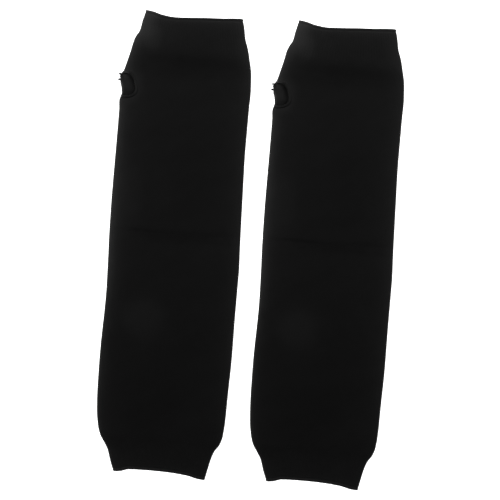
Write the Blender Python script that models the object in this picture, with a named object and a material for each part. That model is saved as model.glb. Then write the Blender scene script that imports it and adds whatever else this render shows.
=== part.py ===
"""A pair of knitted arm warmers with thumb holes, lying flat on a surface.

Units are metres and +Z is up. Each warmer is a knitted tube, pressed flat so that its
front lies on its back: a wide body, a ribbed cuff at the hand end (+Y), a ribbed cuff at
the arm end (-Y), and a raised binding round the thumb hole in the left fold. The origin
is on the surface, under the middle of the pair's box.

A place in a warmer's cloth is given by three numbers, in the warmer's own frame:
  turn   0 to 4 round the tube: 0-1 up the left fold, 1-2 across the front from left to
         right, 2-3 down the right fold, 3-4 back across the underside
  along  the distance up the tube, from its middle, towards the hand
  depth  how far the point lies below the cloth's outer face
"""

import math
from collections import namedtuple

import bmesh
import bpy
from mathutils import Vector

MM = 0.001

# Driving dimensions of one warmer.
TILT = math.radians(-5.0)  # the pair lies turned clockwise by this much
PAIR_STEP = Vector((132.3 * MM, -8.9 * MM, 0.0))  # from the first warmer to the second
WALL = 1.5 * MM  # the body's knit
FOLD_HEIGHT = 3.6 * MM  # the tube's thickness at its two folded edges
FOLD_RADIUS = FOLD_HEIGHT / 2
SHOULDER = 6.5 * MM  # how soon the front rises from a fold to its crown
SEAM_GAP = 0.4 * MM  # between pieces that are joined stitch by stitch; facets narrow it
HAND_END = 200.3 * MM
ARM_END = -200.8 * MM
HAND_SEAM = 165.0 * MM
ARM_SEAM = -168.5 * MM
BACK_PEEP = 0.7 * MM  # how far the back reaches past the front at an open end

# Ribbed cuffs.
RIBS = 84
RIB_DEPTH = 0.25 * MM
CUFF_WALL = 1.25 * MM  # under the ribs
CUFF_ROWS = (0.0, 0.17, 0.33, 0.48, 0.72, 1.0)  # from the seam to the open end
INNER_EVERY = 4  # the plain inside needs only every fourth column

# Thumb hole, measured on the cloth before it is folded round the edge. Its back edge runs
# nearly straight along the fold, and its front edge bows out.
HOLE_AROUND = 3.6 * MM  # from the outermost line of the fold to the hole's middle
HOLE_ALONG = 134.5 * MM
HOLE_BACK_REACH = 4.4 * MM
HOLE_FRONT_REACH = 10.2 * MM
HOLE_HALF_HEIGHT = 9.6 * MM
RIM_WIDTH = 3.2 * MM
RIM_PROUD = 0.3 * MM
RIM_GAP = 0.8 * MM  # from the binding to the body: the fold's curve narrows it
RIM_INSIDE = 0.15 * MM  # how far the binding stands out inside the tube
CUTTER_PROUD = 1.0 * MM
CUTTER_INSIDE = 0.25 * MM

# Outline and height of the tube: a row for each section, in millimetres.
Section = namedtuple("Section", "along left right crown")
SECTIONS = [
    Section(-202.0, -36.8, 41.3, 5.0),
    Section(-190.0, -41.4, 43.7, 5.2),
    Section(-181.0, -44.4, 45.8, 5.3),
    Section(-175.0, -47.9, 48.0, 5.4),
    Section(-169.0, -51.8, 51.9, 5.5),
    Section(-162.0, -54.2, 54.0, 5.6),
    Section(-148.0, -56.5, 55.1, 5.7),
    Section(-125.0, -57.8, 55.4, 5.8),
    Section(-95.0, -58.2, 56.0, 5.9),
    Section(-50.0, -57.4, 55.6, 6.2),
    Section(-20.0, -58.2, 55.6, 6.5),
    Section(5.0, -59.2, 54.6, 6.7),
    Section(45.0, -59.9, 53.2, 6.8),
    Section(90.0, -59.9, 52.0, 6.8),
    Section(121.0, -60.1, 52.0, 6.8),
    Section(127.0, -58.9, 52.1, 6.8),
    Section(132.0, -59.4, 52.3, 6.8),
    Section(137.0, -61.1, 52.3, 6.8),
    Section(141.0, -61.4, 52.1, 6.8),
    Section(147.0, -58.8, 51.7, 6.8),
    Section(154.0, -56.9, 51.1, 6.7),
    Section(165.0, -54.2, 48.8, 6.6),
    Section(173.0, -52.5, 46.9, 6.4),
    Section(177.0, -51.0, 45.6, 6.3),
    Section(182.0, -48.2, 43.8, 6.2),
    Section(190.0, -46.4, 42.1, 6.0),
    Section(202.0, -43.9, 39.4, 5.6),
]

# How far each open end dips below its corners, from the left corner (-1) to the right (1).
EdgeDip = namedtuple("EdgeDip", "across hand arm")
EDGE_DIPS = [
    EdgeDip(-1.0, 0.4, 1.0),
    EdgeDip(-0.85, 0.9, 1.7),
    EdgeDip(-0.65, 2.9, 3.9),
    EdgeDip(-0.4, 4.0, 4.3),
    EdgeDip(-0.1, 3.4, 4.5),
    EdgeDip(0.25, 2.3, 4.1),
    EdgeDip(0.6, 1.6, 2.8),
    EdgeDip(0.85, 0.7, 0.7),
    EdgeDip(1.0, 0.4, 0.2),
]

# Soft folds and swells of the front: centre, direction, half length, half width on its
# upper and its lower side, and height, in mm.
Swell = namedtuple("Swell", "across along turned half_length above below rise")
SWELLS = [
    Swell(0.0, 9.0, 1.0, 57.0, 2.5, 12.0, -0.2),  # the crease, from fold to fold
    Swell(2.0, 4.0, 0.0, 27.0, 6.0, 22.0, -0.2),  # its wide middle
    Swell(36.0, 8.0, 4.0, 20.0, 4.0, 12.0, -0.15),
    Swell(-2.0, -50.0, 82.0, 34.0, 8.0, 8.0, -0.15),
    Swell(21.0, -38.0, 88.0, 30.0, 10.0, 10.0, 0.15),
    Swell(-34.0, 66.0, 80.0, 36.0, 10.0, 10.0, 0.15),
    Swell(-2.0, 157.0, 0.0, 44.0, 6.0, 18.0, -0.15),  # the body drops below the hand cuff
    Swell(-52.0, 206.0, 0.0, 32.0, 26.0, 26.0, -2.2),  # the cuff's left corner sinks
    Swell(-50.0, 134.5, 90.0, 17.0, 14.0, 14.0, -0.8),  # pressed down round the thumb hole
]

# Mesh fineness.
FRONT_CELLS = 20
BACK_CELLS = 8
FOLD_CELLS = 4
EDGE_CROWDING = 0.6  # 0 spaces the columns evenly, 1 crowds them at the folds
BODY_ROWS = [  # millimetres along the tube
    *(-168.3, -163.0, -156.0, -146.0, -130.0, -110.0, -90.0, -74.0, -58.0, -42.0),
    *(-26.0, -10.0, 0.0, 5.0, 8.5, 12.5, 22.0, 36.0, 56.0, 76.0, 98.0, 114.0, 121.0),
    *(126.0, 131.0, 137.0, 141.5, 147.0, 152.0, 157.0, 161.0, 164.8),
]
HOLE_STEPS = 44
CUTTER_RINGS = 4
RIM_SIDES = 8


def smooth_curve(xs, ys, x):
    """The height at x of a curve through the points that never overshoots them."""
    x = min(max(x, xs[0]), xs[-1])
    k = 1
    while x > xs[k]:
        k += 1
    grades = []
    for i in (k - 1, k):
        if i in (0, len(xs) - 1):
            grades.append(0.0 if i else (ys[1] - ys[0]) / (xs[1] - xs[0]))
            continue
        before = (ys[i] - ys[i - 1]) / (xs[i] - xs[i - 1])
        after = (ys[i + 1] - ys[i]) / (xs[i + 1] - xs[i])
        flat = before * after <= 0
        grades.append(0.0 if flat else 2 * before * after / (before + after))
    span = xs[k] - xs[k - 1]
    t = (x - xs[k - 1]) / span
    rise = t * t * (3 - 2 * t)
    return (
        ys[k - 1] * (1 - rise)
        + ys[k] * rise
        + span * t * (1 - t) * ((1 - t) * grades[0] - t * grades[1])
    )


def column(table, name):
    return [getattr(row, name) for row in table]


def section_value(name, along):
    return smooth_curve(column(SECTIONS, "along"), column(SECTIONS, name), along / MM) * MM


def edge_dip(end, across):
    return smooth_curve(column(EDGE_DIPS, "across"), column(EDGE_DIPS, end), across) * MM


def swell_height(x, along):
    total = 0.0
    for swell in SWELLS:
        dx = x / MM - swell.across
        dy = along / MM - swell.along
        angle = math.radians(swell.turned)
        lengthwise = dx * math.cos(angle) + dy * math.sin(angle)
        sideways = dy * math.cos(angle) - dx * math.sin(angle)
        half_width = swell.above if sideways > 0 else swell.below
        fade = (lengthwise / swell.half_length) ** 4 + (sideways / half_width) ** 2
        total += swell.rise * MM * math.exp(-fade)
    return total


def lift(x, along):
    """How far the tube's upper side rises above the height of the folds: a low pillow."""
    from_left = max(0.0, x - section_value("left", along))
    from_right = max(0.0, section_value("right", along) - x)
    pillow = (1 - math.exp(-from_left / SHOULDER)) * (1 - math.exp(-from_right / SHOULDER))
    crown = section_value("crown", along)
    return (crown - FOLD_HEIGHT + swell_height(x, along)) * pillow


def on_cloth(turn, along, depth=0.0):
    """A point of the tube, from its turn, along and depth."""
    turn %= 4
    left = section_value("left", along) + FOLD_RADIUS
    right = section_value("right", along) - FOLD_RADIUS
    if turn < 1 or 2 < turn < 3:
        rising = turn < 1
        angle = math.pi * ((turn if rising else 3 - turn) - 0.5)
        out = (FOLD_RADIUS - depth) * math.cos(angle)
        up = (FOLD_RADIUS - depth) * math.sin(angle)
        outermost = FOLD_RADIUS * math.cos(angle)
        rise = lift(left - outermost if rising else right + outermost, along) if angle > 0 else 0
        return Vector((left - out if rising else right + out, along, FOLD_RADIUS + up + rise))
    if turn <= 2:
        x = left + (right - left) * (turn - 1)
        return Vector((x, along, FOLD_HEIGHT + lift(x, along) - depth))
    return Vector((right - (right - left) * (turn - 3), along, depth))


def facing_up(turn):
    """1 on the front, 0 on the underside, and a smooth change between on the folds."""
    turn %= 4
    if 1 <= turn <= 2:
        return 1.0
    if turn >= 3:
        return 0.0
    share = turn if turn < 1 else 3 - turn
    return share * share * (3 - 2 * share)


def stretches(along):
    """The tube's cloth from the left fold's outermost line, over the front and back to it:
    (first turn, turns, length round the cloth) for each fold and panel."""
    half_fold = FOLD_RADIUS * math.pi / 2
    panel = section_value("right", along) - section_value("left", along) - FOLD_HEIGHT
    return (
        (0.5, 0.5, half_fold),
        (1.0, 1.0, panel),
        (2.0, 1.0, 2 * half_fold),
        (3.0, 1.0, panel),
        (0.0, 0.5, half_fold),
    )


def girth(along):
    return sum(length for _, _, length in stretches(along))


def turn_at(around, along):
    """The turn that lies this far round from the left fold's outermost line, over the front."""
    around %= girth(along)
    for first, turns, length in stretches(along):
        if around <= length:
            return first + turns * around / length
        around -= length
    return 0.5


def across_at(turn, along):
    """Where a turn lies between the tube's left (-1) and right (1) edges."""
    left = section_value("left", along)
    right = section_value("right", along)
    x = on_cloth(turn, along).x
    return max(-1.0, min(1.0, (2 * x - left - right) / (right - left)))


def end_along(end, turn):
    """The along of an open end, at one turn round the tube."""
    if end == "hand":
        dip = edge_dip("hand", across_at(turn, HAND_END))
        return HAND_END - dip - BACK_PEEP * facing_up(turn)
    dip = edge_dip("arm", across_at(turn, ARM_END))
    return ARM_END + dip + BACK_PEEP * facing_up(turn)


def crowded(cells):
    """Shares from 0 to 1, closer together near both ends."""
    shares = []
    for k in range(cells):
        even = k / cells
        shares.append(
            even * (1 - EDGE_CROWDING) + EDGE_CROWDING * (0.5 - 0.5 * math.cos(math.pi * even))
        )
    return shares


def knit_material(name, grey, roughness):
    material = bpy.data.materials.new(name)
    material.use_nodes = True
    shader = material.node_tree.nodes["Principled BSDF"]
    shader.inputs["Base Color"].default_value = (grey, grey, grey * 1.05, 1.0)
    shader.inputs["Roughness"].default_value = roughness
    shader.inputs["Metallic"].default_value = 0.0
    return material


def finish_object(name, mesh_maker, material, parent):
    bmesh.ops.recalc_face_normals(mesh_maker, faces=mesh_maker.faces)
    mesh = bpy.data.meshes.new(name)
    mesh_maker.to_mesh(mesh)
    mesh_maker.free()
    if material:
        mesh.materials.append(material)
    mesh.shade_smooth()
    piece = bpy.data.objects.new(name, mesh)
    bpy.context.scene.collection.objects.link(piece)
    piece.parent = parent
    return piece


def strip(mesh_maker, first, second):
    """Faces between two rings. Where the first ring has several times the points of the
    second, each face takes that many of its edges."""
    ratio = len(first) // len(second)
    for k in range(len(second)):
        edge = [first[(k * ratio + step) % len(first)] for step in range(ratio + 1)]
        mesh_maker.faces.new((*edge, second[(k + 1) % len(second)], second[k]))


def new_ring(mesh_maker, points):
    return [mesh_maker.verts.new(point) for point in points]


def close_tube(mesh_maker, outer, inner):
    """The faces of a tube's wall, from the rings of its outer and its inner skin."""
    for row in range(len(outer) - 1):
        strip(mesh_maker, outer[row], outer[row + 1])
        strip(mesh_maker, inner[row], inner[row + 1])
    strip(mesh_maker, outer[0], inner[0])
    strip(mesh_maker, outer[-1], inner[-1])


def cuff(name, end, seam, material, parent):
    """A ribbed band: ridges and valleys take turns on its outer face, and its inside is plain."""
    mesh_maker = bmesh.new()
    columns = 2 * RIBS
    narrowest = end_along(end, 1.5)
    start = seam + math.copysign(SEAM_GAP / 2, narrowest)
    around = girth(narrowest)
    turns = [turn_at(around * k / columns, narrowest) for k in range(columns)]
    outer, inner = [], []
    for share in CUFF_ROWS:
        outside, inside = [], []
        for k, turn in enumerate(turns):
            along = start + (end_along(end, turn) - start) * share
            outside.append(on_cloth(turn, along, RIB_DEPTH * facing_up(turn) * (k % 2)))
            if k % INNER_EVERY == 0:
                inside.append(on_cloth(turn, along, RIB_DEPTH + CUFF_WALL))
        outer.append(new_ring(mesh_maker, outside))
        inner.append(new_ring(mesh_maker, inside))
    close_tube(mesh_maker, outer, inner)
    return finish_object(name, mesh_maker, material, parent)


def body_turns():
    """The turn of each column of the body's mesh, starting at the foot of the left fold."""
    fold = [k / FOLD_CELLS for k in range(FOLD_CELLS)]
    turns = list(fold)
    turns += [1 + share for share in crowded(FRONT_CELLS)]
    turns += [2 + share for share in fold]
    turns += [3 + share for share in crowded(BACK_CELLS)]
    return turns


def hole_point(step, outward, share=1.0):
    """A point this far outside the thumb hole, or drawn in to a share of the way from its
    middle, as (turn, along)."""
    angle = math.tau * step / HOLE_STEPS
    reach = HOLE_FRONT_REACH if math.cos(angle) > 0 else HOLE_BACK_REACH
    around = HOLE_AROUND + share * (reach + outward) * math.cos(angle)
    along = HOLE_ALONG + share * (HOLE_HALF_HEIGHT + outward) * math.sin(angle)
    return turn_at(around, along), along


def hole_cutter(name, parent):
    """A patch that follows the cloth and is thicker than the wall, to cut the thumb hole."""
    mesh_maker = bmesh.new()
    edges = []
    for depth in (-CUTTER_PROUD, WALL + CUTTER_INSIDE):
        loop = None
        for ring in range(CUTTER_RINGS, 0, -1):
            points = []
            for step in range(HOLE_STEPS):
                place = hole_point(step, RIM_WIDTH + RIM_GAP, ring / CUTTER_RINGS)
                points.append(on_cloth(*place, depth))
            next_loop = new_ring(mesh_maker, points)
            if loop:
                strip(mesh_maker, loop, next_loop)
            else:
                edges.append(next_loop)
            loop = next_loop
        centre = mesh_maker.verts.new(on_cloth(*hole_point(0, 0.0, 0.0), depth))
        for k in range(HOLE_STEPS):
            mesh_maker.faces.new((loop[k], loop[(k + 1) % HOLE_STEPS], centre))
    strip(mesh_maker, edges[0], edges[1])
    cutter = finish_object(name, mesh_maker, None, parent)
    cutter.hide_render = True
    cutter.display_type = "WIRE"
    return cutter


def body(name, material, parent):
    """The tube between the two cuffs, with the thumb hole cut in its left fold."""
    mesh_maker = bmesh.new()
    skins = []
    for depth in (0.0, WALL):
        rings = []
        for place in BODY_ROWS:
            points = [on_cloth(turn, place * MM, depth) for turn in body_turns()]
            rings.append(new_ring(mesh_maker, points))
        skins.append(rings)
    close_tube(mesh_maker, *skins)
    tube = finish_object(name, mesh_maker, material, parent)
    cut = tube.modifiers.new("thumb_hole", "BOOLEAN")
    cut.operation = "DIFFERENCE"
    cut.solver = "EXACT"
    cut.object = hole_cutter(name + "_hole_cutter", parent)
    return tube


def thumb_rim(name, material, parent):
    """The binding round the thumb hole: a rounded band that follows the cloth."""
    mesh_maker = bmesh.new()
    corner = math.cos(math.pi / RIM_SIDES)
    rings = []
    for step in range(HOLE_STEPS):
        points = []
        for side in range(RIM_SIDES):
            slant = math.tau * (side + 0.5) / RIM_SIDES
            outward = RIM_WIDTH / 2 * (1 + math.cos(slant) / corner)
            turn, along = hole_point(step, outward)
            share = math.sin(slant) / corner
            proud = RIM_PROUD * facing_up(turn) if share > 0 else RIM_INSIDE
            points.append(on_cloth(turn, along, WALL / 2 - share * (WALL / 2 + proud)))
        rings.append(new_ring(mesh_maker, points))
    for step in range(HOLE_STEPS):
        strip(mesh_maker, rings[step], rings[(step + 1) % HOLE_STEPS])
    return finish_object(name, mesh_maker, material, parent)


def warmer(side, body_knit, rib_knit, binding_knit):
    """One warmer: an empty that holds its four pieces."""
    holder = bpy.data.objects.new(side + "_warmer", None)
    bpy.context.scene.collection.objects.link(holder)
    holder.rotation_euler.z = TILT
    body(side + "_body", body_knit, holder)
    cuff(side + "_hand_cuff", "hand", HAND_SEAM, rib_knit, holder)
    cuff(side + "_arm_cuff", "arm", ARM_SEAM, rib_knit, holder)
    thumb_rim(side + "_thumb_rim", binding_knit, holder)
    return holder


def box_middle(holder):
    """The middle of a warmer's box on the surface, as it lies turned."""
    bpy.context.view_layer.update()
    corners = [
        piece.matrix_world @ vertex.co
        for piece in holder.children
        for vertex in piece.data.vertices
    ]
    xs = [corner.x for corner in corners]
    ys = [corner.y for corner in corners]
    return Vector(((min(xs) + max(xs)) / 2, (min(ys) + max(ys)) / 2, 0.0))


def main():
    for leftover in list(bpy.data.objects):
        bpy.data.objects.remove(leftover)
    body_knit = knit_material("body_knit", 0.012, 0.95)
    rib_knit = knit_material("rib_knit", 0.011, 0.95)
    binding_knit = knit_material("binding_knit", 0.014, 0.9)
    for side, step in (("left", -0.5), ("right", 0.5)):
        holder = warmer(side, body_knit, rib_knit, binding_knit)
        holder.location = PAIR_STEP * step - box_middle(holder)


main()
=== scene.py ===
# %% [markdown]
# # A pair of knitted arm warmers
#
# The real thing is a pair of long tubes, knitted in fine near-black yarn. Each has a plain
# body, a firmer ribbed cuff at each end and a bound hole for the thumb in its left fold.
# They lie flat on a white table, side by side, so each tube's front lies on its back.
#
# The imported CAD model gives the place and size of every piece. Here each piece of cloth is
# made again, finer than the solid: cut as a flat sheet, rolled up into its tube and given
# the thickness of the knit.

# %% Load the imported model
import math

import bpy
import numpy as np
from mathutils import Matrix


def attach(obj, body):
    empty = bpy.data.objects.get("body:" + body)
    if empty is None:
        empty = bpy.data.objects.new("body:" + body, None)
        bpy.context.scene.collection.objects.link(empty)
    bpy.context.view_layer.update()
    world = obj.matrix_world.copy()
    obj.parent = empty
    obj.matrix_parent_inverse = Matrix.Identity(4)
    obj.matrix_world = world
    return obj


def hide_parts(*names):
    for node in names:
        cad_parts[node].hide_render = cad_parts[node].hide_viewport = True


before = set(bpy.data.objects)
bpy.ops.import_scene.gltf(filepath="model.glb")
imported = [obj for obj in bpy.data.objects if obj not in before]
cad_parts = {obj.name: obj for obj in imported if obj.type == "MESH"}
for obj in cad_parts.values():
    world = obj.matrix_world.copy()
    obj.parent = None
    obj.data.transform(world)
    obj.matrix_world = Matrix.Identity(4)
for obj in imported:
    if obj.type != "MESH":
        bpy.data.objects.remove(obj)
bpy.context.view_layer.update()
MM = 0.001
print("the CAD model's nodes:", ", ".join(sorted(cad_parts)))

# %% [markdown]
# ## Camera
#
# The photo was taken from straight above. A lens in the middle of the picture, 1.2 m above
# the table, sees both warmers without turning them, and what is nearer to it hardly grows,
# because the cloth is only 7 mm high. A long lens far away keeps that so.

# %% Camera
LENS = 100.0
SENSOR = 36.0
FRAME_WIDTH = 433.0 * MM  # the width of table that the picture shows
VIEW_MIDDLE = (-0.48 * MM, 0.39 * MM)

bpy.ops.object.select_all(action="DESELECT")
bpy.ops.object.camera_add(location=(*VIEW_MIDDLE, FRAME_WIDTH * LENS / SENSOR))
camera = bpy.context.object
camera.name = "camera_from_above"
camera.data.lens = LENS
camera.data.sensor_width = SENSOR
camera.data.clip_start = 0.05
camera.data.clip_end = 20.0
bpy.context.scene.camera = camera
bpy.context.scene.view_settings.view_transform = "Standard"
print("the camera is", round(camera.location.z, 3), "m above the table")

# %% [markdown]
# ## Table and light
#
# The table is a plain white board that shows as pure white, without a shadow, as in a
# catalogue picture. Such a board is lit by itself as much as from above, so its material
# glows a little.
#
# Black cloth sends back so little light that its form shows mostly in its soft gloss. One
# wide light is low at the left, so the left folds shine most. A second, higher one at the
# right leaves a narrow shadow inside the right edge of each thumb hole. A soft box beyond
# the hand ends makes the cloth grow darker towards the arm ends.

# %% White table
TABLE_DROP = 0.6 * MM  # below the cloth, so that the two never share a face

bpy.ops.object.select_all(action="DESELECT")
bpy.ops.mesh.primitive_plane_add(size=6.0, location=(0, 0, -TABLE_DROP))
table = bpy.context.object
table.name = "white_table"
board = bpy.data.materials.new("white_board")
board.use_nodes = True
shader = board.node_tree.nodes["Principled BSDF"]
shader.inputs["Base Color"].default_value = (0.9, 0.9, 0.9, 1)
shader.inputs["Roughness"].default_value = 0.9
shader.inputs["Specular IOR Level"].default_value = 0.1
shader.inputs["Emission Color"].default_value = (1, 1, 1, 1)
shader.inputs["Emission Strength"].default_value = 1.0
table.data.materials.append(board)

# %% Soft light
ROOM_GLOW = 0.12  # the even light from all round

world = bpy.data.worlds.new("white_room")
bpy.context.scene.world = world
world.use_nodes = True
world.node_tree.nodes["Background"].inputs["Color"].default_value = (1, 1, 1, 1)
world.node_tree.nodes["Background"].inputs["Strength"].default_value = ROOM_GLOW


def wide_light(name, from_x, from_y, from_z, spread, strength):
    """A soft light far away in one direction, as wide as a wall or a window."""
    bpy.ops.object.select_all(action="DESELECT")
    bpy.ops.object.light_add(type="SUN", location=(from_x, from_y, from_z))
    lamp = bpy.context.object
    lamp.name = name
    lamp.data.angle = math.radians(spread)
    lamp.data.energy = strength
    lamp.rotation_euler = lamp.location.to_track_quat("Z", "Y").to_euler()
    return lamp


def soft_box(name, place, width, height, watts):
    """A lamp with a large face, turned towards the middle of the table."""
    bpy.ops.object.select_all(action="DESELECT")
    bpy.ops.object.light_add(type="AREA", location=place)
    lamp = bpy.context.object
    lamp.name = name
    lamp.data.shape = "RECTANGLE"
    lamp.data.size = width
    lamp.data.size_y = height
    lamp.data.energy = watts
    lamp.rotation_euler = (-lamp.location).to_track_quat("-Z", "Y").to_euler()
    lamp.visible_camera = False
    return lamp


wide_light("light_from_the_left", -1.0, 0.05, 0.6, 35.0, 3.3)
wide_light("light_from_the_right", 1.0, 0.25, 1.4, 25.0, 1.2)
soft_box("light_beyond_the_hands", (0.0, 0.8, 0.42), 1.4, 0.3, 12.5)
print("two wide lights, a soft box and a white room light the table")

# %% [markdown]
# ## The shape of a warmer
#
# A tube that is pressed flat has four parts: the left fold, the front, the right fold and
# the underside. A place in its cloth is given by how far it lies round the tube, its
# *turn*, and how far up the tube, its *along*. A third number, the *depth*, says how far
# below the cloth's outer face it lies. Every piece is laid with the same function, so the
# body, its cuffs and the binding always meet.

# %% The outline
# These are the CAD model's sizes, but the edges beside the thumb hole, the cuffs' corners
# and the two open ends are drawn up to 0.9 mm closer to the photo.
WALL = 1.5 * MM
FOLD_HEIGHT = 3.6 * MM
FOLD_RADIUS = FOLD_HEIGHT / 2
SHOULDER = 6.5 * MM  # how soon the front rises from a fold to its crown
HAND_END = 200.3 * MM
ARM_END = -200.8 * MM
HAND_SEAM = 165.0 * MM
ARM_SEAM = -168.5 * MM
BACK_PEEP = 0.7 * MM

# Each row, in millimetres: along, left edge, right edge, height of the front's crown.
SECTIONS = np.array([
    (-202.0, -36.8, 41.3, 5.0),
    (-190.0, -41.4, 43.7, 5.2),
    (-181.0, -44.4, 45.8, 5.3),
    (-175.0, -47.9, 48.0, 5.4),
    (-169.0, -51.8, 51.9, 5.5),
    (-162.0, -54.2, 54.0, 5.6),
    (-148.0, -56.5, 55.1, 5.7),
    (-125.0, -57.8, 55.4, 5.8),
    (-95.0, -58.2, 56.0, 5.9),
    (-50.0, -57.4, 55.6, 6.2),
    (-20.0, -58.2, 55.6, 6.5),
    (5.0, -59.2, 54.6, 6.7),
    (45.0, -59.9, 53.2, 6.8),
    (90.0, -59.9, 52.0, 6.8),
    (112.0, -60.0, 52.0, 6.8),
    (120.5, -60.6, 52.0, 6.8),
    (126.5, -58.9, 52.1, 6.8),
    (132.0, -59.9, 52.3, 6.8),
    (137.0, -61.3, 52.3, 6.8),
    (141.0, -61.4, 52.1, 6.8),
    (147.0, -58.8, 51.7, 6.8),
    (154.0, -56.9, 51.1, 6.7),
    (165.0, -54.2, 48.8, 6.6),
    (173.0, -52.5, 46.9, 6.4),
    (177.0, -51.0, 45.6, 6.3),
    (182.0, -48.2, 43.8, 6.2),
    (190.0, -46.6, 42.3, 6.0),
    (202.0, -44.3, 40.0, 5.6),
]).T * MM

# How far the two open ends dip between their corners. Each row: across (-1 to 1), and the
# dip of the hand end and of the arm end, in millimetres.
EDGE_DIPS = np.array([
    (-1.0, -0.4, 0.9),
    (-0.85, 0.5, 1.6),
    (-0.65, 2.7, 3.8),
    (-0.4, 3.9, 4.2),
    (-0.1, 3.3, 4.3),
    (0.25, 2.2, 3.9),
    (0.6, 1.4, 2.6),
    (0.85, 0.5, 0.5),
    (1.0, 0.3, 0.0),
]).T
print("the outline runs through", SECTIONS.shape[1], "sections")

# %% Smooth curves through a table


def smooth_curve(xs, ys, x):
    """The heights at x of a curve through the points that never overshoots them."""
    x = np.clip(x, xs[0], xs[-1])
    slope = np.diff(ys) / np.diff(xs)
    same_way = slope[:-1] * slope[1:] > 0
    total = np.where(same_way, slope[:-1] + slope[1:], 1.0)
    middle = np.where(same_way, 2 * slope[:-1] * slope[1:] / total, 0.0)
    grade = np.concatenate(([slope[0]], middle, [0.0]))
    k = np.clip(np.searchsorted(xs, x), 1, len(xs) - 1)
    span = xs[k] - xs[k - 1]
    t = (x - xs[k - 1]) / span
    rise = t * t * (3 - 2 * t)
    bow = span * t * (1 - t) * ((1 - t) * grade[k - 1] - t * grade[k])
    return ys[k - 1] * (1 - rise) + ys[k] * rise + bow


def edges(along):
    """The x of the cloth's flat part: where the left fold ends and the right one starts."""
    left = smooth_curve(SECTIONS[0], SECTIONS[1], along) + FOLD_RADIUS
    right = smooth_curve(SECTIONS[0], SECTIONS[2], along) - FOLD_RADIUS
    return left, right


def open_end(end, x):
    """The along of the open end at each x, which dips between its two corners."""
    row, corner, way_in = (1, HAND_END, -1) if end == "hand" else (2, ARM_END, 1)
    left, right = edges(np.full_like(x, corner))
    half = (right - left) / 2 + FOLD_RADIUS
    across = np.clip((x - (left + right) / 2) / half, -1, 1)
    return corner + way_in * smooth_curve(EDGE_DIPS[0], EDGE_DIPS[row], across) * MM


left, right = edges(np.array([0.0]))
print("half way up, a warmer is", round((right - left + FOLD_HEIGHT)[0] / MM, 1), "mm wide")

# %% [markdown]
# ## Folds and swells of the front
#
# Cloth that lies flat is never quite flat. The tube was packed in half, which left a
# crease across its middle. The front is pressed down round the thumb hole, and sinks at the
# left corner of the hand cuff. Each row of the table is one soft hollow or swell. Fine waves
# lie over them all.

# %% Folds and swells
# Each row: across, along, turned (degrees), half length, half width above and below, rise
# (all in millimetres).
SWELLS = [
    (0.0, 9.0, 1.0, 57.0, 2.5, 12.0, -0.2),  # the crease, from fold to fold
    (2.0, 4.0, 0.0, 27.0, 6.0, 22.0, -0.2),  # its wide middle
    (36.0, 8.0, 4.0, 20.0, 4.0, 12.0, -0.15),
    (-2.0, -50.0, 82.0, 34.0, 8.0, 8.0, -0.15),
    (21.0, -38.0, 88.0, 30.0, 10.0, 10.0, 0.15),
    (-34.0, 66.0, 80.0, 36.0, 10.0, 10.0, 0.15),
    (-2.0, 157.0, 0.0, 44.0, 6.0, 18.0, -0.15),  # the body drops below the hand cuff
    (-52.0, 206.0, 0.0, 32.0, 26.0, 26.0, -2.2),  # the cuff's left corner sinks
    (-50.0, 134.5, 90.0, 17.0, 14.0, 14.0, -0.8),  # pressed down round the thumb hole
]


def swell_height(x, along):
    """How far the folds and swells raise the front, all rows together."""
    total = np.zeros_like(x)
    for across, middle, turned, half_length, above, below, rise in SWELLS:
        dx, dy = x / MM - across, along / MM - middle
        angle = math.radians(turned)
        lengthwise = dx * math.cos(angle) + dy * math.sin(angle)
        sideways = dy * math.cos(angle) - dx * math.sin(angle)
        half_width = np.where(sideways > 0, above, below)
        fade = (lengthwise / half_length) ** 4 + (sideways / half_width) ** 2
        total += rise * MM * np.exp(-fade)
    return total


print("the front has", len(SWELLS), "folds and swells")

# %% [markdown]
# ## Worn and pressed places
#
# The knit's colour is painted lighter along the folds, at both open ends, at the hand cuff's
# left corner and beside the left fold: painted highlight where the cloth turns to the light.
# It is painted darker in the crease, below the hand cuff and towards the arm end: painted
# shade. It is also lighter round the thumb hole, on the cuffs and in one round place below
# the crease. The amount is kept in every point of the cloth, and the knit's colour is made
# lighter by it. An amount of 1 is the step from the dark gaps between the loops to the
# loops' light tops.

# %% Painted light and shade, and lighter places
# Each row: across, along, half width, half height (all in millimetres), and how much lighter
# (+) or darker (-) the colour is painted there.
TONE_AND_PAINTED_LIGHT = [
    (-22.5, -65.0, 18.5, 18.5, 1.4),  # a round place, lighter
    (-50.0, 200.0, 16.0, 27.0, 5.9),  # painted highlight at the hand cuff's left corner
    (-36.0, 177.0, 7.5, 11.0, 1.8),  # and below it, towards the middle, painted highlight too
    (-46.0, 38.0, 14.0, 26.0, 0.8),  # painted highlight beside the left fold
    (-51.5, 134.5, 9.8, 13.5, 2.4),  # round the thumb hole
    (0.0, 186.0, 60.0, 19.0, 0.1),  # the cuffs
    (0.0, 200.0, 60.0, 10.0, 0.8),
    (0.0, -187.0, 60.0, 17.0, 0.2),
    (-32.0, 10.3, 25.0, 1.6, -0.6),  # painted shade in the crease
    (-4.0, 6.0, 24.0, 5.0, -0.4),
    (36.0, 4.5, 18.0, 2.6, -0.4),
    (-2.0, 158.5, 46.0, 4.5, -0.3),  # painted shade below the hand cuff
    (0.0, 156.0, 70.0, 12.0, -0.8),
    # darker places of the body; the two towards the arm end are painted shade
    (-8.0, -140.0, 26.0, 30.0, -0.3),
    (20.0, -100.0, 24.0, 50.0, -0.2),
    (14.0, 60.0, 22.0, 46.0, -0.2),
]

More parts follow.
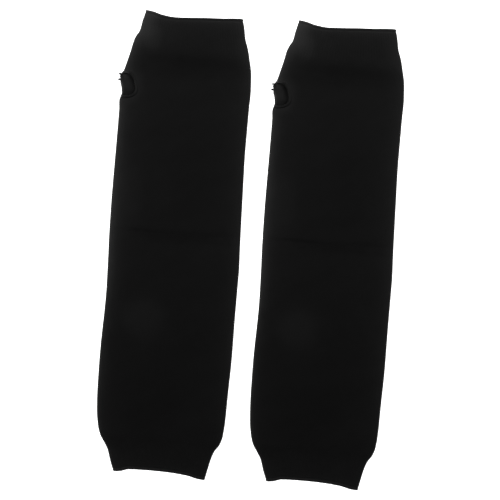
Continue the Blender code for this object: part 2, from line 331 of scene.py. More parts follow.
# The same, for the inside of the tube, which shows only in the thumb hole. All of it is painted
# light and shade: lighter near the fold, where the inside lies in shade, and a painted shadow
# below the front's edge.
INSIDE_PAINTED_SHADING = [
    (-57.5, 136.5, 6.2, 6.6, 1.5),  # painted light on most of what shows
    (-58.5, 143.0, 6.0, 3.5, 5.0),  # more painted light towards the hand end, where the rim casts a shadow
    (-59.6, 143.3, 2.5, 1.8, 13.0),  # and that part's corner at the fold
    (-49.5, 127.3, 5.5, 2.8, -1.4),  # painted shadow below the front's edge
]


def patches(places, x, along):
    """The amounts of all the places together. Each is round, with a soft edge."""
    total = np.zeros_like(x)
    for across, middle, half_width, half_height, amount in places:
        fade = np.hypot((x / MM - across) / half_width, (along / MM - middle) / half_height)
        total += amount * np.exp(-(fade**4))
    return total


print(len(TONE_AND_PAINTED_LIGHT), "places on the outside and", len(INSIDE_PAINTED_SHADING), "on the inside differ in tone")

# %% Painted glow of the folds and the open ends
# Painted highlight along the folds. At an along in millimetres, the left fold's amount, then the right
# fold's.
FOLD_GLOW = np.array([
    (-200.0, 1.4, 2.0),
    (-130.0, 1.6, 3.8),
    (-60.0, 3.2, 5.2),
    (0.0, 7.2, 6.0),
    (100.0, 6.0, 6.0),
    (200.0, 7.0, 5.2),
]).T
NEAR_FOLD = 4.0 * MM  # most of it fades over this distance,
NEAR_SHARE = 0.8
FAR_FOLD = 22.0 * MM  # and the rest more slowly

# Painted highlight at the open ends. For each open end: the amount at its edge and how fast
# it fades, in millimetres, and then the same for a wider band.
END_GLOW = {"hand": (10.0, 1.2, 1.2, 6.0), "arm": (4.0, 2.5, 0.7, 8.0)}
END_GLOW_INSIDE = 1.0  # the same amount again as painted light on the shaded inside, which shows past the front's edge


def fold_glow_near(distance):
    """The share of a fold's amount that is left at a distance from its outermost line."""
    near, far = np.exp(-distance / NEAR_FOLD), np.exp(-distance / FAR_FOLD)
    return NEAR_SHARE * near + (1 - NEAR_SHARE) * far


def painted_end_glow(x, along):
    """The painted highlight at and near both open ends, on the bound-off stitches."""
    total = np.zeros_like(x)
    for end, (edge, edge_fade, band, band_fade) in END_GLOW.items():
        from_end = np.abs(open_end(end, x) - along) / MM
        total += edge * np.exp(-from_end / edge_fade) + band * np.exp(-from_end / band_fade)
    return total


def tone_and_painted_light_at(x, along):
    """How much lighter the outside of the tube is painted: the folds' and ends' painted glow and the
    table's places.
    """
    left, right = edges(along)
    from_left = np.maximum(0, x - left + FOLD_RADIUS)
    from_right = np.maximum(0, right + FOLD_RADIUS - x)
    total = smooth_curve(FOLD_GLOW[0] * MM, FOLD_GLOW[1], along) * fold_glow_near(from_left)
    total += smooth_curve(FOLD_GLOW[0] * MM, FOLD_GLOW[2], along) * fold_glow_near(from_right)
    return total + patches(TONE_AND_PAINTED_LIGHT, x, along) + painted_end_glow(x, along)


# The painted glow of the folds and the table's places, at a warmer's middle.
middle_painted_light = tone_and_painted_light_at(np.array([0.0]), np.array([0.0]))[0]
print("in a warmer's middle, the yarn is", round(float(middle_painted_light), 2), "lighter than unworn yarn")

# %% A place on the cloth


def lift(x, along):
    """How far the front rises above the height of the folds: a low pillow with its swells."""
    left, right = edges(along)
    from_left = np.maximum(0, x - left + FOLD_RADIUS) / SHOULDER
    from_right = np.maximum(0, right + FOLD_RADIUS - x) / SHOULDER
    pillow = (1 - np.exp(-from_left)) * (1 - np.exp(-from_right))
    crown = smooth_curve(SECTIONS[0], SECTIONS[3], along)
    return (crown - FOLD_HEIGHT + swell_height(x, along)) * pillow


def on_cloth(turn, along, depth):
    """Points of the tube. A turn of -0.5 is the middle of the underside, 0 to 1 goes up the
    left fold, 1 to 2 across the front, 2 to 3 down the right fold and on to 3.5."""
    left, right = edges(along)
    flat = right - left
    up_the_fold = np.clip(np.where(turn < 1.5, turn, 3 - turn), 0, 1)
    angle = math.pi * (up_the_fold - 0.5)
    out = (FOLD_RADIUS - depth) * np.cos(angle)
    up = FOLD_RADIUS + (FOLD_RADIUS - depth) * np.sin(angle)
    part = [turn < 0, turn < 1, turn <= 2, turn < 3]
    front_x = left + flat * (turn - 1)
    x = np.select(
        part, [left - flat * turn, left - out, front_x, right + out], right - flat * (turn - 3)
    )
    z = np.select(part, [depth, up, FOLD_HEIGHT - depth, up], depth)
    outer_x = np.select(part[1:3], [left - FOLD_RADIUS * np.cos(angle), front_x],
                        right + FOLD_RADIUS * np.cos(angle))
    upper = (turn > 0.5) & (turn < 2.5)
    return np.stack([x, along, z + np.where(upper, lift(outer_x, along), 0.0)], axis=-1)


def facing_up(turn):
    """1 on the front, 0 on the underside, and a smooth change between on the folds."""
    share = np.clip(np.where(turn < 1.5, turn, 3 - turn), 0, 1)
    return share * share * (3 - 2 * share)


top = on_cloth(np.array([1.5]), np.array([0.0]), 0.0)[0, 2]
print("the front's middle lies", round(float(top) / MM, 2), "mm above the table")

# %% Distances round the tube


def girth_parts(along):
    """The length of the flat cloth of one side, and of one fold, at an along."""
    left, right = edges(along)
    return right - left, math.pi * FOLD_RADIUS


def turn_at(share, along):
    """The turn at a share of the way round, from the middle of the underside."""
    flat, fold = girth_parts(along)
    around = share * 2 * (flat + fold)
    return (
        np.clip(around / flat, 0, 0.5)
        + np.clip((around - flat / 2) / fold, 0, 1)
        + np.clip((around - flat / 2 - fold) / flat, 0, 1)
        + np.clip((around - 1.5 * flat - fold) / fold, 0, 1)
        + np.clip((around - 1.5 * flat - 2 * fold) / flat, 0, 0.5)
        - 0.5
    )


def share_at(from_fold, along):
    """The share of the way round, from a distance past the left fold's outermost line."""
    flat, fold = girth_parts(along)
    return ((flat + fold) / 2 + from_fold) / (2 * (flat + fold))


flat, fold = girth_parts(np.array([0.0]))
print("round the body's middle:", round((2 * (flat + fold))[0] / MM, 1), "mm of cloth")

# %% [markdown]
# ## Knit finishes
#
# Plain knit is rows of small V-shaped loops. A bump pattern draws them from the cloth's own
# UV map, which counts stitches round and along the tube, so they follow every curve. Without
# its painted light, the black yarn sends back only one or two parts in a thousand of the light.
# Its gloss is weak and very broad, because the fibres point all ways. *Sheen* is the part of
# the shader that stands for the short fuzz, which catches light where the cloth turns away.
# The inside of the tube is the back of the knit, which is a little lighter, and its colour is
# raised further as painted light for the shade inside the tube: it shows in the thumb holes.

# %% Maths and noise nodes


def maths(tree, operation, *values):
    """A maths node, fed with sockets or plain numbers. Gives its result socket."""
    node = tree.nodes.new("ShaderNodeMath")
    node.operation = operation
    for socket, value in zip(node.inputs, values):
        if isinstance(value, bpy.types.NodeSocket):
            tree.links.new(value, socket)
        else:
            socket.default_value = value
    return node.outputs[0]


def speckle(tree, scale, detail):
    """Soft noise on the piece's own coordinates."""
    place = tree.nodes.new("ShaderNodeTexCoord")
    noise = tree.nodes.new("ShaderNodeTexNoise")
    noise.inputs["Scale"].default_value = scale
    noise.inputs["Detail"].default_value = detail
    tree.links.new(place.outputs["Object"], noise.inputs["Vector"])
    return noise.outputs["Fac"]


# %% A pattern of knitted loops
LEAN = 0.8  # how far a loop's leg climbs, in stitch rows, from the V's foot to its top
FOOT = 0.35  # the height of the V's foot, where the legs' tops are 1


def loops(tree, stitches_round, rows):
    """The height, 0 to 1, of plain knit. Each stitch is a V of two rounded legs."""
    cloth = tree.nodes.new("ShaderNodeUVMap")
    cloth.uv_map = "cloth"
    count = tree.nodes.new("ShaderNodeMapping")
    count.inputs["Scale"].default_value = (stitches_round, rows, 1.0)
    tree.links.new(cloth.outputs["UV"], count.inputs["Vector"])
    split = tree.nodes.new("ShaderNodeSeparateXYZ")
    tree.links.new(count.outputs["Vector"], split.inputs["Vector"])
    column = maths(tree, "FRACT", split.outputs["X"])
    aside = maths(tree, "ABSOLUTE", maths(tree, "SUBTRACT", column, 0.5))
    climb = maths(tree, "SUBTRACT", split.outputs["Y"], maths(tree, "MULTIPLY", aside, 2 * LEAN))
    row = maths(tree, "FRACT", climb)
    leg = maths(tree, "SINE", maths(tree, "MULTIPLY", aside, math.tau))
    crown = maths(tree, "SINE", maths(tree, "MULTIPLY", row, math.pi))
    return maths(tree, "MULTIPLY", crown, maths(tree, "MULTIPLY_ADD", leg, 1 - FOOT, FOOT))


# %% Knit material
# The colour in the gaps between the loops, a painted shade, the colour of the loops' tops, and the
# sheen.
OUTSIDE = (0.0009, 0.0019, 0.006)
# Lighter than the outside: partly the back of the knit, partly painted light for the tube's shaded
# inside.
INSIDE = (0.0028, 0.0043, 0.01)
PATCHES_PER_METRE = 55.0  # uneven dye
FUZZ_PER_METRE = 1500.0  # single fibres
FUZZ_HEIGHT = 0.35  # against a loop's height of 1
LOOP_HEIGHT = 0.25 * MM


def knit(name, stitches_round, rows, dark, light, sheen):
    """Near-black yarn: the tops of the loops are light, and the gaps between them are painted dark as
    shade.
    """
    material = bpy.data.materials.new(name)
    material.use_nodes = True
    tree = material.node_tree
    shader = tree.nodes["Principled BSDF"]
    shader.inputs["Roughness"].default_value = 0.5
    shader.inputs["Specular IOR Level"].default_value = 0.042
    shader.inputs["Sheen Weight"].default_value = sheen
    shader.inputs["Sheen Roughness"].default_value = 0.55
    shader.inputs["Sheen Tint"].default_value = (1.0, 1.0, 1.0, 1.0)
    height = loops(tree, stitches_round, rows)
    patchy = speckle(tree, PATCHES_PER_METRE, 3.0)
    fuzzy = speckle(tree, FUZZ_PER_METRE, 2.0)
    painted_light_reader = tree.nodes.new("ShaderNodeAttribute")
    painted_light_reader.attribute_name = "painted_light_and_tone"
    # Half of the step from dark to light follows the loops' own height, a painted shade in the gaps,
    # and half is uneven dye.
    shade = maths(tree, "MULTIPLY_ADD", height, 0.5, maths(tree, "MULTIPLY", patchy, 0.5))
    # The painted light and shade of each point is added to the colour.
    shade = maths(tree, "ADD", shade, painted_light_reader.outputs["Fac"])
    colour = tree.nodes.new("ShaderNodeMix")
    colour.data_type = "RGBA"
    colour.clamp_factor = False
    colour.clamp_result = True
    colour.inputs["A"].default_value = (dark, dark, dark, 1.0)
    colour.inputs["B"].default_value = (light, light, light, 1.0)
    tree.links.new(shade, colour.inputs["Factor"])
    tree.links.new(colour.outputs["Result"], shader.inputs["Base Color"])
    relief = tree.nodes.new("ShaderNodeBump")
    relief.inputs["Strength"].default_value = 0.3
    relief.inputs["Distance"].default_value = LOOP_HEIGHT
    nap = maths(tree, "MULTIPLY_ADD", fuzzy, FUZZ_HEIGHT, height)
    tree.links.new(nap, relief.inputs["Height"])
    tree.links.new(relief.outputs["Normal"], shader.inputs["Normal"])
    print(name, "has", stitches_round, "stitches round and", rows, "rows")
    return material


body_knit = knit("body_knit", 184, 350, *OUTSIDE)
rib_knit = knit("rib_knit", 120, 40, *OUTSIDE)
binding_knit = knit("binding_knit", 104, 3, *OUTSIDE)
inside_knit = knit("inside_knit", 184, 350, *INSIDE)

# %% [markdown]
# ## From a flat sheet to a tube
#
# Knit comes off the needles as cloth, so each piece starts as a grid: a flat sheet, as wide
# as the tube is round. The body's columns stand closer where it will bend round the folds.
# The sheet's two long edges meet in the middle of the underside, where they are merged.
# Solidify then gives the cloth its thickness, and both faces are laid on the tube.

# %% Cut a sheet


def vertex_places(piece):
    places = np.empty(len(piece.data.vertices) * 3)
    piece.data.vertices.foreach_get("co", places)
    return places.reshape(-1, 3)


def place_vertices(piece, places):
    piece.data.vertices.foreach_set("co", places.ravel())
    piece.data.update()


def cut_sheet(name, columns, rows, spread_round, spread_along):
    """A flat grid, 1 by 1. The two tables move its columns and rows: (even, moved) shares."""
    bpy.ops.object.select_all(action="DESELECT")
    bpy.ops.mesh.primitive_grid_add(
        x_subdivisions=columns, y_subdivisions=rows, size=1, location=(0.5, 0.5, 0)
    )
    bpy.ops.object.transform_apply(location=True)
    sheet = bpy.context.object
    sheet.name = sheet.data.name = name
    sheet.data.uv_layers.active.name = "cloth"
    corners = np.empty(len(sheet.data.loops) * 2)
    sheet.data.uv_layers["cloth"].uv.foreach_get("vector", corners)
    corners = corners.reshape(-1, 2)
    points = vertex_places(sheet)
    for axis, (even, moved) in enumerate((spread_round, spread_along)):
        corners[:, axis] = np.interp(corners[:, axis], even, moved)
        points[:, axis] = np.interp(points[:, axis], even, moved)
    sheet.data.uv_layers["cloth"].uv.foreach_set("vector", corners.ravel())
    place_vertices(sheet, points)
    return sheet


# %% Remember where the cloth was cut


def remember(piece, name, values):
    """Stores one number for each vertex, which stays with it through every later step."""
    note = piece.data.attributes.new(name, "FLOAT", "POINT")
    note.data.foreach_set("value", np.ascontiguousarray(values, dtype=np.float32))


def recall(piece, name):
    """Gives back what was remembered."""
    values = np.empty(len(piece.data.vertices))
    piece.data.attributes[name].data.foreach_get("value", values)
    return values


# %% Roll it up and thicken it
SAME_POINT = 0.002 * MM  # points closer than this are merged
SOFT_ANGLE = math.radians(50)  # an edge that bends less is shaded smooth


def on_front(points):
    """1 on the front, 0 below the middle of the folds, from the points' heights."""
    return np.clip(points[:, 2] / FOLD_RADIUS - 1, 0, 1)


def roll_up(sheet, place, outer_knit):
    """Rolls the sheet into its tube, merges the seam, and gives it two faces. place gives
    each point from its shares round and up the flat sheet, and whether it is inside."""
    sheet.data.materials.append(outer_knit)
    sheet.data.materials.append(inside_knit)
    flat = vertex_places(sheet)
    remember(sheet, "share", flat[:, 0])
    remember(sheet, "way", flat[:, 1])
    place_vertices(sheet, place(flat[:, 0], flat[:, 1], np.zeros(len(flat))))
    bpy.ops.object.select_all(action="DESELECT")
    sheet.select_set(True)
    bpy.context.view_layer.objects.active = sheet
    bpy.ops.object.mode_set(mode="EDIT")
    bpy.ops.mesh.select_all(action="SELECT")
    bpy.ops.mesh.remove_doubles(threshold=SAME_POINT)
    bpy.ops.object.mode_set(mode="OBJECT")
    one_face = len(sheet.data.vertices)
    thick = sheet.modifiers.new("cloth_thickness", "SOLIDIFY")
    thick.thickness = WALL
    thick.offset = -1
    thick.material_offset = 1
    bpy.ops.object.modifier_apply(modifier=thick.name)
    inside = (np.arange(len(sheet.data.vertices)) >= one_face).astype(float)
    places = place(recall(sheet, "share"), recall(sheet, "way"), inside)
    place_vertices(sheet, places)
    upper = on_front(places)
    x, along = places[:, 0], places[:, 1]
    # The outside takes its painted light and tone, and the inside, which shows in the thumb hole and
    # past the open ends, its painted light and shade.
    inside_painted = patches(INSIDE_PAINTED_SHADING, x, along) + END_GLOW_INSIDE * painted_end_glow(x, along)
    remember(sheet, "painted_light_and_tone", tone_and_painted_light_at(x, along) * upper + inside * inside_painted * (1 - upper))
    bpy.ops.object.shade_smooth_by_angle(angle=SOFT_ANGLE)
    print(sheet.name, "has", len(sheet.data.polygons), "faces")
    return sheet


# %% [markdown]
# ## Body
#
# The body is plain knit, cut with the thumb hole in it. The hole is opened while the sheet
# is flat: the faces inside its outline are deleted and the cut edge is moved onto the
# outline. A Boolean cut would do as well, but it would leave long thin faces beside the
# hole, and they would show in the smooth shading.

# %% The thumb hole's outline
HOLE_AROUND = 3.6 * MM
HOLE_ALONG = 134.5 * MM
HOLE_BACK_REACH = 4.4 * MM
HOLE_FRONT_REACH = 10.2 * MM
HOLE_HALF_HEIGHT = 9.6 * MM
HOLE_FULLNESS = 2.3  # 2 is an ellipse, and more has fuller corners
RIM_WIDTH = 3.2 * MM


def fuller(share, power):
    """A share from -1 to 1, raised to a power, with its sign kept."""
    return np.sign(share) * np.abs(share) ** power


def hole_angle(from_fold, along, outward):
    """Each point's direction from the hole's middle, and how far out it is (1: on the line)."""
    aside = from_fold - HOLE_AROUND
    reach = np.where(aside > 0, HOLE_FRONT_REACH, HOLE_BACK_REACH) + outward
    x, y = aside / reach, (along - HOLE_ALONG) / (HOLE_HALF_HEIGHT + outward)
    x, y = fuller(x, HOLE_FULLNESS / 2), fuller(y, HOLE_FULLNESS / 2)
    return np.arctan2(y, x), np.hypot(x, y)


def hole_line(angle, outward):
    """The point of the outline, moved outward, in each direction: (from fold, along)."""
    reach = np.where(np.cos(angle) > 0, HOLE_FRONT_REACH, HOLE_BACK_REACH) + outward
    from_fold = HOLE_AROUND + reach * fuller(np.cos(angle), 2 / HOLE_FULLNESS)
    up = fuller(np.sin(angle), 2 / HOLE_FULLNESS)
    return from_fold, HOLE_ALONG + (HOLE_HALF_HEIGHT + outward) * up


print("the thumb hole is", round(2 * HOLE_HALF_HEIGHT / MM, 1), "mm long inside its binding")

# %% Columns that crowd at the folds
FRONT_CELLS = 84
BACK_CELLS = 56
FOLD_CELLS = 10


def crowd_at_folds():
    """(even shares of the cells, shares of the way round) for the whole tube."""
    flat, fold = girth_parts(np.array([0.0]))
    cells = np.cumsum([0, BACK_CELLS / 2, FOLD_CELLS, FRONT_CELLS, FOLD_CELLS, BACK_CELLS / 2])
    lengths = np.cumsum([0, flat[0] / 2, fold, flat[0], fold, flat[0] / 2])
    return cells / cells[-1], lengths / lengths[-1]


columns = FRONT_CELLS + BACK_CELLS + 2 * FOLD_CELLS
print("round the body there are", columns, "columns")

# %% Cut the body's sheet
BODY_ROWS = 260
TUCK = 0.4 * MM  # the body's ends lie this far under the cuffs
TUCK_DEPTH = 0.04 * MM

body_start, body_stop = ARM_SEAM - TUCK, HAND_SEAM + TUCK
unmoved = ((0, 1), (0, 1))
body_sheet = cut_sheet("left_body_cloth", columns, BODY_ROWS, crowd_at_folds(), unmoved)


def body_along(way):
    """The along at a share of the way up the body's sheet."""
    return body_start + (body_stop - body_start) * way


# %% Open the thumb hole
BESIDE_HOLE = 1.6  # only cut edges nearer than this, in the outline's own reach, are moved


def from_hole(sheet, outward):
    """The direction of each point of the flat sheet from the hole, and how far out it is."""
    flat = vertex_places(sheet)
    along = body_along(flat[:, 1])
    side, fold = girth_parts(along)
    from_fold = (flat[:, 0] - share_at(0.0, along)) * 2 * (side + fold)
    return hole_angle(from_fold, along, outward)


def open_hole(sheet, outward):
    """Deletes the flat faces inside the outline and moves the cut edge onto it."""
    angle, far = from_hole(sheet, outward)
    bpy.ops.object.mode_set(mode="EDIT")
    bpy.ops.mesh.select_all(action="DESELECT")
    bpy.ops.object.mode_set(mode="OBJECT")
    for face in sheet.data.polygons:
        face.select = bool(np.mean(far[list(face.vertices)]) < 1)
    bpy.ops.object.mode_set(mode="EDIT")
    bpy.ops.mesh.select_mode(type="FACE")
    bpy.ops.mesh.delete(type="FACE")
    bpy.ops.mesh.select_mode(type="VERT")
    bpy.ops.mesh.select_all(action="DESELECT")
    bpy.ops.object.mode_set(mode="OBJECT")
    angle, far = from_hole(sheet, outward)  # again, of the points that are left
    flat = vertex_places(sheet)
    uses = np.zeros(len(flat), int)
    for face in sheet.data.polygons:
        uses[list(face.vertices)] += 1
    cut = (uses < 4) & (far < BESIDE_HOLE)
    from_fold, along = hole_line(angle[cut], outward)
    flat[cut, 0] = share_at(from_fold, along)
    flat[cut, 1] = (along - body_start) / (body_stop - body_start)
    place_vertices(sheet, flat)
    print("the thumb hole's cut edge has", int(cut.sum()), "points")


open_hole(body_sheet, RIM_WIDTH / 2)

# %% Fine waves of the cloth
# Each row: waves in a metre, across and along, where they start (radians), rise (millimetres).
WAVES = (
    (31.0, 12.0, 0.3, 0.05),
    (-17.0, 23.0, 1.9, 0.05),
    (9.0, -41.0, 4.1, 0.04),
    (57.0, 34.0, 2.2, 0.025),
    (-48.0, 61.0, 5.0, 0.02),
)


def fine_waves(x, along):
    """Slow, low waves, a few hundredths of a millimetre high, as in cloth that has been used."""
    total = np.zeros_like(x)
    for across, up, start, rise in WAVES:
        total += rise * MM * np.sin(math.tau * (across * x + up * along) + start)
    return total


print("the cloth has", len(WAVES), "sets of fine waves")

# %% Lay the body


def body_place(share, way, inside):
    """Points of the body, from the share of the way round and of the way up its sheet."""
    along = body_along(way)
    turn = turn_at(share, along)
    end = np.minimum(way, 1 - way) * (body_stop - body_start)
    tucked = TUCK_DEPTH * np.clip(1 - end / TUCK, 0, 1)
    depth = tucked + inside * (WALL - 2 * tucked)
    points = on_cloth(turn, along, depth)
    points[:, 2] += fine_waves(points[:, 0], along) * facing_up(turn)
    return points


body = roll_up(body_sheet, body_place, body_knit)

# %% [markdown]
# ## Ribbed cuffs
#
# A rib is a column of stitches that stands forward, and the next column lies back, so the
# cuff grips. Its ridges rise gradually from the seam, where the plain body begins. At the
# open end the stitches are bound off, which leaves a rounded edge with a slight lip.

# %% Sizes of the ribs
RIBS = 84
POINTS_PER_RIB = 6
RIB_DEPTH = 0.05 * MM
RIB_STARTS = 4.0 * MM  # the ribs rise over this length from the seam,
RIB_STOPS = 0.4 * MM  # and fall away over this length at the open end
LIP = 0.2 * MM
EDGE_ROUND = 0.8 * MM
EDGE_THINNER = 0.35  # how much of the wall the rounding takes off each face at the very edge
HEM = 2.4 * MM  # the bound-off edge, up to the groove below it
GROOVE = 0.25 * MM
GROOVE_HALF = 0.5 * MM
CUFF_ROWS = 36
ROWS_CROWD = 1.5  # 1 spaces the rows evenly, and more crowds them at the open end


def end_line(end, turn, along):
    """The along of the open end at each turn. The underside reaches a little further."""
    way_in = -1 if end == "hand" else 1
    stop = open_end(end, on_cloth(turn, along, 0.0)[:, 0])
    return stop + way_in * BACK_PEEP * facing_up(turn)


print("each cuff has", RIBS, "ribs,", round(RIB_DEPTH / MM, 2), "mm high")

# %% Lay a cuff


def cuff_place(end, seam):
    """The function that lays one cuff's cloth."""

    def place(share, way, inside):
        corner = np.full_like(share, HAND_END if end == "hand" else ARM_END)
        stop = end_line(end, turn_at(share, corner), corner)
        along = seam + (stop - seam) * way
        turn = turn_at(share, along)
        from_seam, from_end = np.abs(along - seam), np.abs(stop - along)
        ridge = 0.5 + 0.5 * np.cos(math.tau * RIBS * share)
        fade = np.clip(from_seam / RIB_STARTS, 0, 1) * np.clip(from_end / RIB_STOPS, 0, 1)
        lip = LIP * np.exp(-(((from_end - EDGE_ROUND) / EDGE_ROUND) ** 2)) * facing_up(turn)
        nearly = np.clip(1 - from_end / EDGE_ROUND, 0, 1)
        rounding = EDGE_THINNER * WALL * (1 - np.sqrt(1 - nearly**2))
        groove = GROOVE * np.exp(-(((from_end - HEM) / GROOVE_HALF) ** 2))
        outer = RIB_DEPTH * (1 - ridge) * fade - lip + rounding + groove
        inner = WALL - rounding
        depth = np.where(inside > 0.5, inner, outer)
        points = on_cloth(turn, along, depth)
        points[:, 2] += fine_waves(points[:, 0], along) * facing_up(turn)
        return points

    return place


# %% Knit both cuffs


def turn_sheet_over(sheet):
    """The arm cuff's rows run down from the seam, so its faces are turned to face out."""
    bpy.ops.object.mode_set(mode="EDIT")
    bpy.ops.mesh.select_all(action="SELECT")
    bpy.ops.mesh.flip_normals()
    bpy.ops.object.mode_set(mode="OBJECT")


def knit_cuff(end, seam):
    """Cuts a cuff's sheet, with its rows closer together towards the open end, and rolls it."""
    way = np.linspace(0, 1, CUFF_ROWS + 1)
    rows = (way, 1 - (1 - way) ** ROWS_CROWD)
    name = f"left_{end}_cuff_cloth"
    sheet = cut_sheet(name, RIBS * POINTS_PER_RIB, CUFF_ROWS, unmoved, rows)
    if end == "arm":
        turn_sheet_over(sheet)
    return roll_up(sheet, cuff_place(end, seam), rib_knit)


hand_cuff = knit_cuff("hand", HAND_SEAM)
arm_cuff = knit_cuff("arm", ARM_SEAM)

# %% [markdown]
# ## Binding of the thumb hole
#
# The cut edge is covered by close stitches, over and over, which make a raised band. A ring
# is bent to the hole's outline and round the fold, and low ripples across it are the
# stitches. Their colour has painted shade on the front and in the hole, and painted light on
# the fold. A few short ends of thread stand out there, where the stitches end.

# %% Sizes of the binding
RIM_PROUD = 0.3 * MM
RIM_INSIDE = 0.15 * MM
BINDING_STITCHES = 52
STITCH_RISE = 0.1 * MM
FOLD_PUFF = 1.2 * MM  # the stitches bunch up where they go round the fold
PUFF_HALF = 5.5 * MM
print("the binding has", BINDING_STITCHES, "stitches,", round(RIM_WIDTH / MM, 1), "mm wide")

# %% Bend a ring round the hole
RING_POINTS = 256  # round the hole, the most that a torus can have
BAND_POINTS = 18  # round the band


def binding_place(round_hole, round_band):
    """Points of the band, from the angle round the hole and the angle round the band."""
    outward = RIM_WIDTH / 2 * (1 + np.cos(round_band))
    from_fold, along = hole_line(round_hole, outward)
    turn = turn_at(share_at(from_fold, along), along)
    outer = np.sin(round_band)  # 1 on the band's outer face, -1 on its inner face
    ripple = STITCH_RISE * np.abs(np.sin(round_hole * BINDING_STITCHES / 2))
    proud = np.where(outer > 0, (RIM_PROUD + ripple) * facing_up(turn), RIM_INSIDE)
    bunched = FOLD_PUFF * np.exp(-(((along - HOLE_ALONG) / PUFF_HALF) ** 2))
    bunched *= np.sin(math.pi * np.clip(turn, 0, 1)) ** 3 * (0.5 + 0.5 * outer)
    return on_cloth(turn, along, WALL / 2 - outer * (WALL / 2 + proud) - bunched)


bpy.ops.object.select_all(action="DESELECT")
bpy.ops.mesh.primitive_torus_add(
    major_segments=RING_POINTS, minor_segments=BAND_POINTS, major_radius=1, minor_radius=0.3
)
binding = bpy.context.object
binding.name = binding.data.name = "left_thumb_binding"
binding.data.uv_layers.active.name = "cloth"
ring = vertex_places(binding)
round_hole = np.arctan2(ring[:, 1], ring[:, 0])
round_band = np.arctan2(ring[:, 2], np.hypot(ring[:, 0], ring[:, 1]) - 1)
band = binding_place(round_hole, round_band)
place_vertices(binding, band)
bpy.ops.object.shade_smooth()
binding.data.materials.append(binding_knit)
print("the binding has", len(binding.data.polygons), "faces")

# %% Painted light and shade of the stitches
BAND_PAINTED_SHADE = 0.9  # painted shade: how much darker the band is than the knit beside it
HOLE_SIDE_PAINTED_SHADE = 2.6  # and more painted shade on its side in the hole
EDGE_STARTS = 1.5 * MM  # the painted shade there starts this far past the fold's outermost line,
EDGE_WHOLE = 7.0 * MM  # and is at its darkest from here on
FOLD_PAINTED_LIGHT = 12.0  # painted light: how much lighter the band is on the fold
FOLD_LIGHT_FOOT = 0.2  # the share of it that is left at the hole's arm end,
FOLD_LIGHT_RISE = 1.1  # and how fast it comes back towards the hand end
CORNER_PAINTED_LIGHT = 22.0  # painted light: how much lighter still in the hole's corner towards the hand end
ARM_END_PAINTED_SHADE = 3.0  # painted shade: how much darker the band is at the hole's arm end

upper = on_front(band)
hole_side = np.maximum(0, -np.cos(round_band))
outermost = edges(band[:, 1])[0] - FOLD_RADIUS
past_fold = (band[:, 0] - outermost - EDGE_STARTS) / (EDGE_WHOLE - EDGE_STARTS)
past_fold = np.clip(past_fold, 0, 1)
to_hand = np.sin(round_hole)  # 1 at the hole's hand end, -1 at its arm end
band_painted_tone = tone_and_painted_light_at(band[:, 0], band[:, 1]) - BAND_PAINTED_SHADE - HOLE_SIDE_PAINTED_SHADE * hole_side * past_fold
band_painted_tone -= ARM_END_PAINTED_SHADE * np.maximum(0, -to_hand) ** 2
fold_light_mask = np.maximum(1 - upper, hole_side * (1 - past_fold))
amount = FOLD_PAINTED_LIGHT * np.clip(FOLD_LIGHT_FOOT + FOLD_LIGHT_RISE * (1 + to_hand), 0, 1)
amount += CORNER_PAINTED_LIGHT * np.maximum(0, to_hand) ** 3
# The band's painted shade and painted light together.
tone = band_painted_tone * upper + amount * fold_light_mask
remember(binding, "painted_light_and_tone", tone)
print("its stitches are", round(tone.min(), 1), "to", round(tone.max(), 1), "lighter than unworn yarn")

# %% Leave short ends of thread
# Each row, in millimetres: along, height above the table, reach out of the fold.
THREAD_ENDS = [(143.2, 2.6, 2.9), (141.1, 2.5, 0.6), (138.4, 2.5, 2.3)]
# Each end frays into strands: how far one splays, in millimetres, and its share of the reach.
STRANDS = [
    (-0.75, 0.55), (-0.5, 0.8), (-0.25, 1.0), (0.0, 0.7), (0.2, 0.95), (0.45, 0.85), (0.7, 0.5)
]
STRAND = 0.22 * MM  # half its thickness,
TIP = 0.001 * MM  # and at its two ends, where the points will be merged
ROOT = 0.9 * MM  # how deep it starts in the binding
SPLAY_ROOT = 0.3  # how much of its splay a strand has at its root,
SPLAY_MORE = 1.1  # and how much more at its tip
UNEVEN = 0.3  # how far a strand lies above or below its end's middle, in millimetres
DROOP = 0.5  # how far a tip hangs down, in millimetres


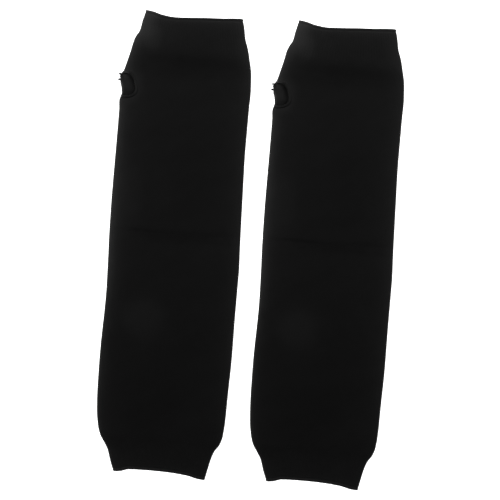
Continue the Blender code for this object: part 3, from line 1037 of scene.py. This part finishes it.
def strand(place, splay, share):
    """A short strand that leaves the binding at the left fold, droops and ends blunt."""
    along, height, reach = place
    bpy.ops.object.select_all(action="DESELECT")
    bpy.ops.mesh.primitive_grid_add(x_subdivisions=8, y_subdivisions=12, size=1)
    thread = bpy.context.object
    thread.data.uv_layers.active.name = "cloth"
    grid = vertex_places(thread) + 0.5
    angle, out = math.tau * grid[:, 0], grid[:, 1]
    blunt = np.minimum(1, 8 * out) * np.maximum(0, 1 - out**5)  # round at both ends
    radius = STRAND * np.sqrt(blunt) + TIP
    start = edges(np.array([along]) * MM)[0] - FOLD_RADIUS + ROOT
    length = ROOT + share * reach * MM
    middle_along = along + splay * (SPLAY_ROOT + SPLAY_MORE * out)
    middle_height = height + UNEVEN * math.sin(9 * splay) - DROOP * out * out
    points = np.stack([
        start - out * length,
        middle_along * MM + radius * np.cos(angle),
        middle_height * MM + radius * np.sin(angle),
    ], axis=-1)
    place_vertices(thread, points)
    # The strands get the fold's painted light.
    remember(thread, "painted_light_and_tone", np.full(len(points), FOLD_PAINTED_LIGHT))
    thread.data.materials.append(binding_knit)
    return thread


strands = [strand(place, *row) for place in THREAD_ENDS for row in STRANDS]
print(len(strands), "strands stand out of the binding")

# %% Join the strands to the binding
CLOSE = 0.003 * MM  # points nearer than this are merged, which closes each strand's seam

bpy.ops.object.select_all(action="DESELECT")
for thread in strands:
    thread.select_set(True)
binding.select_set(True)
bpy.context.view_layer.objects.active = binding
bpy.ops.object.join()
bpy.ops.object.mode_set(mode="EDIT")
bpy.ops.mesh.select_all(action="SELECT")
bpy.ops.mesh.remove_doubles(threshold=CLOSE)
bpy.ops.mesh.normals_make_consistent(inside=False)
bpy.ops.object.mode_set(mode="OBJECT")
bpy.ops.object.shade_smooth()
print("the binding and its strands have", len(binding.data.polygons), "faces")

# %% [markdown]
# ## Lay the pair
#
# Both warmers are the same, so the finished pieces are copied to the second place. Each
# copy has its own mesh. The place goes into the mesh, and the object stays at the origin.

# %% Places of the two warmers
TILT = math.radians(-5.0)
PLACES = {"left": (-63.746 * MM, 4.72 * MM, 0.0), "right": (68.554 * MM, -4.18 * MM, 0.0)}


def lay_down(piece, side):
    """Moves and turns a piece to its warmer's place on the table."""
    bpy.ops.object.select_all(action="DESELECT")
    piece.select_set(True)
    bpy.context.view_layer.objects.active = piece
    piece.location = PLACES[side]
    piece.rotation_euler.z = TILT
    bpy.ops.object.transform_apply(location=True, rotation=True)


def copy_of(piece):
    """The same piece for the right warmer, with a mesh of its own."""
    twin = piece.copy()
    twin.data = piece.data.copy()
    bpy.context.collection.objects.link(twin)
    twin.name = twin.data.name = piece.name.replace("left", "right")
    return twin


pieces = {"body": body, "hand_cuff": hand_cuff, "arm_cuff": arm_cuff, "thumb_rim": binding}
laid = {("right", node): copy_of(piece) for node, piece in pieces.items()}
laid.update({("left", node): piece for node, piece in pieces.items()})
for (side, node), piece in laid.items():
    lay_down(piece, side)
    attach(piece, "root")
    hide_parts(f"{side}_{node}")
print("laid", len(laid), "pieces")
